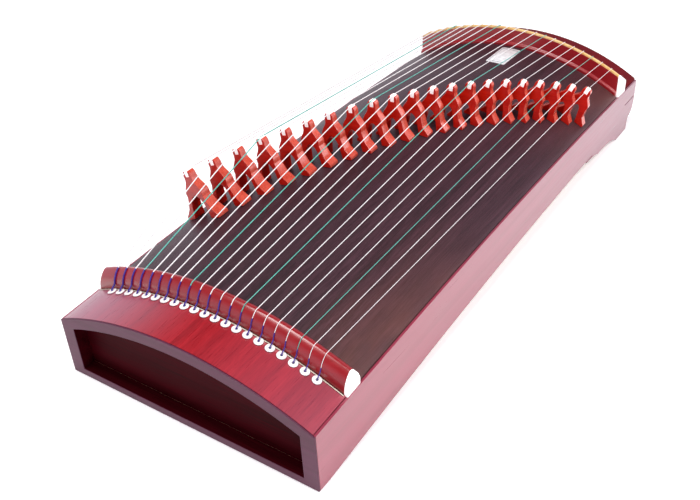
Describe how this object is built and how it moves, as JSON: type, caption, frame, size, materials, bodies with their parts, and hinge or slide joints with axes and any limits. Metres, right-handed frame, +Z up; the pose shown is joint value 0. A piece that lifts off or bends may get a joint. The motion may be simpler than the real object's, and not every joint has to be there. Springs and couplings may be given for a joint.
{
  "type": "guzheng",
  "caption": "Short arched-board zither with movable wooden bridges, nylon-wound strings over red nuts, tail eyelets, lift-off tuning box lid and a carved foot at each head corner.",
  "frame": {"origin": "centre of the footprint on the surface it stands on", "axes": "+X from the tail end to the head end with the tuning box, +Z up; the player sits at -Y"},
  "size_m": [0.856, 0.336, 0.1851],
  "materials": {
    "side_boards": "rosewood stain, satin lacquer",
    "soundboard": "scorched paulownia, brushed grain",
    "tail_deck": "red lacquered rosewood, gloss",
    "tail_frame": "dark red lacquer",
    "inner_wood": "dark red stain",
    "nuts": "red lacquer, gloss",
    "saddle": "amber bone, polished",
    "bone": "white bone, polished",
    "eyelets": "white moulded plastic",
    "block": "raw hardwood",
    "lid": "dark red lacquer, gloss",
    "bottom": "plain paulownia",
    "bridge_wood": "red rosewood, oiled",
    "strings": "nylon-wound steel",
    "pins": "polished steel",
    "label": "blank brushed plate"
  },
  "bodies": {
    "root": {"front_side_board": "side_boards", "rear_side_board": "side_boards", "soundboard": "soundboard", "tail_deck": "tail_deck", "tail_end_frame": "tail_frame", "tail_inner_board": "inner_wood", "string_eyelets": "eyelets", "tail_nut": "nuts", "head_nut": "nuts", "head_nut_saddle": "saddle", "bone_end_caps": "bone", "pin_block": "block", "head_end_board": "tail_frame", "bottom_board": "bottom", "sound_ribs": "bottom", "strings": "strings", "label_plate": "label"},
    "lid": {"tuning_box_lid": "lid"},
    "bridge_01": {"bridge_01": "bridge_wood"},
    "bridge_02": {"bridge_02": "bridge_wood"},
    "bridge_03": {"bridge_03": "bridge_wood"},
    "bridge_04": {"bridge_04": "bridge_wood"},
    "bridge_05": {"bridge_05": "bridge_wood"},
    "bridge_06": {"bridge_06": "bridge_wood"},
    "bridge_07": {"bridge_07": "bridge_wood"},
    "bridge_08": {"bridge_08": "bridge_wood"},
    "bridge_09": {"bridge_09": "bridge_wood"},
    "bridge_10": {"bridge_10": "bridge_wood"},
    "bridge_11": {"bridge_11": "bridge_wood"},
    "bridge_12": {"bridge_12": "bridge_wood"},
    "bridge_13": {"bridge_13": "bridge_wood"},
    "bridge_14": {"bridge_14": "bridge_wood"},
    "bridge_15": {"bridge_15": "bridge_wood"},
    "bridge_16": {"bridge_16": "bridge_wood"},
    "bridge_17": {"bridge_17": "bridge_wood"},
    "bridge_18": {"bridge_18": "bridge_wood"},
    "bridge_19": {"bridge_19": "bridge_wood"},
    "bridge_20": {"bridge_20": "bridge_wood"},
    "bridge_21": {"bridge_21": "bridge_wood"},
    "pin_01": {"tuning_pin_01": "pins"},
    "pin_02": {"tuning_pin_02": "pins"},
    "pin_03": {"tuning_pin_03": "pins"},
    "pin_04": {"tuning_pin_04": "pins"},
    "pin_05": {"tuning_pin_05": "pins"},
    "pin_06": {"tuning_pin_06": "pins"},
    "pin_07": {"tuning_pin_07": "pins"},
    "pin_08": {"tuning_pin_08": "pins"},
    "pin_09": {"tuning_pin_09": "pins"},
    "pin_10": {"tuning_pin_10": "pins"},
    "pin_11": {"tuning_pin_11": "pins"},
    "pin_12": {"tuning_pin_12": "pins"},
    "pin_13": {"tuning_pin_13": "pins"},
    "pin_14": {"tuning_pin_14": "pins"},
    "pin_15": {"tuning_pin_15": "pins"},
    "pin_16": {"tuning_pin_16": "pins"},
    "pin_17": {"tuning_pin_17": "pins"},
    "pin_18": {"tuning_pin_18": "pins"},
    "pin_19": {"tuning_pin_19": "pins"},
    "pin_20": {"tuning_pin_20": "pins"},
    "pin_21": {"tuning_pin_21": "pins"}
  },
  "joints": [
    {"name": "lid_lift", "type": "slide", "parent": "root", "child": "lid", "axis": [0, 0, 1], "range_m": [0, 0.06]},
    {"name": "bridge_01_slide", "type": "slide", "parent": "root", "child": "bridge_01", "axis": [1, 0, 0], "range_m": [-0.0026, 0.0026], "deforming": ["strings"]},
    {"name": "bridge_02_slide", "type": "slide", "parent": "root", "child": "bridge_02", "axis": [1, 0, 0], "range_m": [-0.0027, 0.0026], "deforming": ["strings"]},
    {"name": "bridge_03_slide", "type": "slide", "parent": "root", "child": "bridge_03", "axis": [1, 0, 0], "range_m": [-0.0028, 0.0027], "deforming": ["strings"]},
    {"name": "bridge_04_slide", "type": "slide", "parent": "root", "child": "bridge_04", "axis": [1, 0, 0], "range_m": [-0.003, 0.0028], "deforming": ["strings"]},
    {"name": "bridge_05_slide", "type": "slide", "parent": "root", "child": "bridge_05", "axis": [1, 0, 0], "range_m": [-0.0031, 0.003], "deforming": ["strings"]},
    {"name": "bridge_06_slide", "type": "slide", "parent": "root", "child": "bridge_06", "axis": [1, 0, 0], "range_m": [-0.0032, 0.0031], "deforming": ["strings"]},
    {"name": "bridge_07_slide", "type": "slide", "parent": "root", "child": "bridge_07", "axis": [1, 0, 0], "range_m": [-0.0034, 0.0032], "deforming": ["strings"]},
    {"name": "bridge_08_slide", "type": "slide", "parent": "root", "child": "bridge_08", "axis": [1, 0, 0], "range_m": [-0.0035, 0.0034], "deforming": ["strings"]},
    {"name": "bridge_09_slide", "type": "slide", "parent": "root", "child": "bridge_09", "axis": [1, 0, 0], "range_m": [-0.0036, 0.0035], "deforming": ["strings"]},
    {"name": "bridge_10_slide", "type": "slide", "parent": "root", "child": "bridge_10", "axis": [1, 0, 0], "range_m": [-0.0038, 0.0036], "deforming": ["strings"]},
    {"name": "bridge_11_slide", "type": "slide", "parent": "root", "child": "bridge_11", "axis": [1, 0, 0], "range_m": [-0.0039, 0.0038], "deforming": ["strings"]},
    {"name": "bridge_12_slide", "type": "slide", "parent": "root", "child": "bridge_12", "axis": [1, 0, 0], "range_m": [-0.0041, 0.0039], "deforming": ["strings"]},
    {"name": "bridge_13_slide", "type": "slide", "parent": "root", "child": "bridge_13", "axis": [1, 0, 0], "range_m": [-0.0042, 0.0041], "deforming": ["strings"]},
    {"name": "bridge_14_slide", "type": "slide", "parent": "root", "child": "bridge_14", "axis": [1, 0, 0], "range_m": [-0.0043, 0.0042], "deforming": ["strings"]},
    {"name": "bridge_15_slide", "type": "slide", "parent": "root", "child": "bridge_15", "axis": [1, 0, 0], "range_m": [-0.0045, 0.0043], "deforming": ["strings"]},
    {"name": "bridge_16_slide", "type": "slide", "parent": "root", "child": "bridge_16", "axis": [1, 0, 0], "range_m": [-0.0046, 0.0045], "deforming": ["strings"]},
    {"name": "bridge_17_slide", "type": "slide", "parent": "root", "child": "bridge_17", "axis": [1, 0, 0], "range_m": [-0.0047, 0.0046], "deforming": ["strings"]},
    {"name": "bridge_18_slide", "type": "slide", "parent": "root", "child": "bridge_18", "axis": [1, 0, 0], "range_m": [-0.0049, 0.0047], "deforming": ["strings"]},
    {"name": "bridge_19_slide", "type": "slide", "parent": "root", "child": "bridge_19", "axis": [1, 0, 0], "range_m": [-0.005, 0.0049], "deforming": ["strings"]},
    {"name": "bridge_20_slide", "type": "slide", "parent": "root", "child": "bridge_20", "axis": [1, 0, 0], "range_m": [-0.0051, 0.005], "deforming": ["strings"]},
    {"name": "bridge_21_slide", "type": "slide", "parent": "root", "child": "bridge_21", "axis": [1, 0, 0], "range_m": [-0.0051, 0.0051], "deforming": ["strings"]},
    {"name": "pin_01_turn", "type": "hinge", "parent": "root", "child": "pin_01", "pos_m": [0.389, -0.12981, 0.073], "axis": [0, -0.4315, 0.9021], "continuous": true},
    {"name": "pin_02_turn", "type": "hinge", "parent": "root", "child": "pin_02", "pos_m": [0.406, -0.11676, 0.07815], "axis": [0, -0.3897, 0.9209], "continuous": true},
    {"name": "pin_03_turn", "type": "hinge", "parent": "root", "child": "pin_03", "pos_m": [0.389, -0.10384, 0.08395], "axis": [0, -0.3452, 0.9385], "continuous": true},
    {"name": "pin_04_turn", "type": "hinge", "parent": "root", "child": "pin_04", "pos_m": [0.406, -0.09081, 0.08774], "axis": [0, -0.3031, 0.953], "continuous": true},
    {"name": "pin_05_turn", "type": "hinge", "parent": "root", "child": "pin_05", "pos_m": [0.389, -0.07788, 0.09218], "axis": [0, -0.2589, 0.9659], "continuous": true},
    {"name": "pin_06_turn", "type": "hinge", "parent": "root", "child": "pin_06", "pos_m": [0.406, -0.06487, 0.09473], "axis": [0, -0.2165, 0.9763], "continuous": true},
    {"name": "pin_07_turn", "type": "hinge", "parent": "root", "child": "pin_07", "pos_m": [0.389, -0.05192, 0.09793], "axis": [0, -0.1726, 0.985], "continuous": true},
    {"name": "pin_08_turn", "type": "hinge", "parent": "root", "child": "pin_08", "pos_m": [0.406, -0.03892, 0.0993], "axis": [0, -0.1299, 0.9915], "continuous": true},
    {"name": "pin_09_turn", "type": "hinge", "parent": "root", "child": "pin_09", "pos_m": [0.389, -0.02596, 0.10132], "axis": [0, -0.0863, 0.9963], "continuous": true},
    {"name": "pin_10_turn", "type": "hinge", "parent": "root", "child": "pin_10", "pos_m": [0.406, -0.01297, 0.10155], "axis": [0, -0.0433, 0.9991], "continuous": true},
    {"name": "pin_11_turn", "type": "hinge", "parent": "root", "child": "pin_11", "pos_m": [0.389, 0, 0.10244], "axis": [0, 0, 1], "continuous": true},
    {"name": "pin_12_turn", "type": "hinge", "parent": "root", "child": "pin_12", "pos_m": [0.406, 0.01297, 0.10155], "axis": [0, 0.0433, 0.9991], "continuous": true},
    {"name": "pin_13_turn", "type": "hinge", "parent": "root", "child": "pin_13", "pos_m": [0.389, 0.02596, 0.10132], "axis": [0, 0.0863, 0.9963], "continuous": true},
    {"name": "pin_14_turn", "type": "hinge", "parent": "root", "child": "pin_14", "pos_m": [0.406, 0.03892, 0.0993], "axis": [0, 0.1299, 0.9915], "continuous": true},
    {"name": "pin_15_turn", "type": "hinge", "parent": "root", "child": "pin_15", "pos_m": [0.389, 0.05192, 0.09793], "axis": [0, 0.1726, 0.985], "continuous": true},
    {"name": "pin_16_turn", "type": "hinge", "parent": "root", "child": "pin_16", "pos_m": [0.406, 0.06487, 0.09473], "axis": [0, 0.2165, 0.9763], "continuous": true},
    {"name": "pin_17_turn", "type": "hinge", "parent": "root", "child": "pin_17", "pos_m": [0.389, 0.07788, 0.09218], "axis": [0, 0.2589, 0.9659], "continuous": true},
    {"name": "pin_18_turn", "type": "hinge", "parent": "root", "child": "pin_18", "pos_m": [0.406, 0.09081, 0.08774], "axis": [0, 0.3031, 0.953], "continuous": true},
    {"name": "pin_19_turn", "type": "hinge", "parent": "root", "child": "pin_19", "pos_m": [0.389, 0.10384, 0.08395], "axis": [0, 0.3452, 0.9385], "continuous": true},
    {"name": "pin_20_turn", "type": "hinge", "parent": "root", "child": "pin_20", "pos_m": [0.406, 0.11676, 0.07815], "axis": [0, 0.3897, 0.9209], "continuous": true},
    {"name": "pin_21_turn", "type": "hinge", "parent": "root", "child": "pin_21", "pos_m": [0.389, 0.12981, 0.073], "axis": [0, 0.4315, 0.9021], "continuous": true}
  ]
}
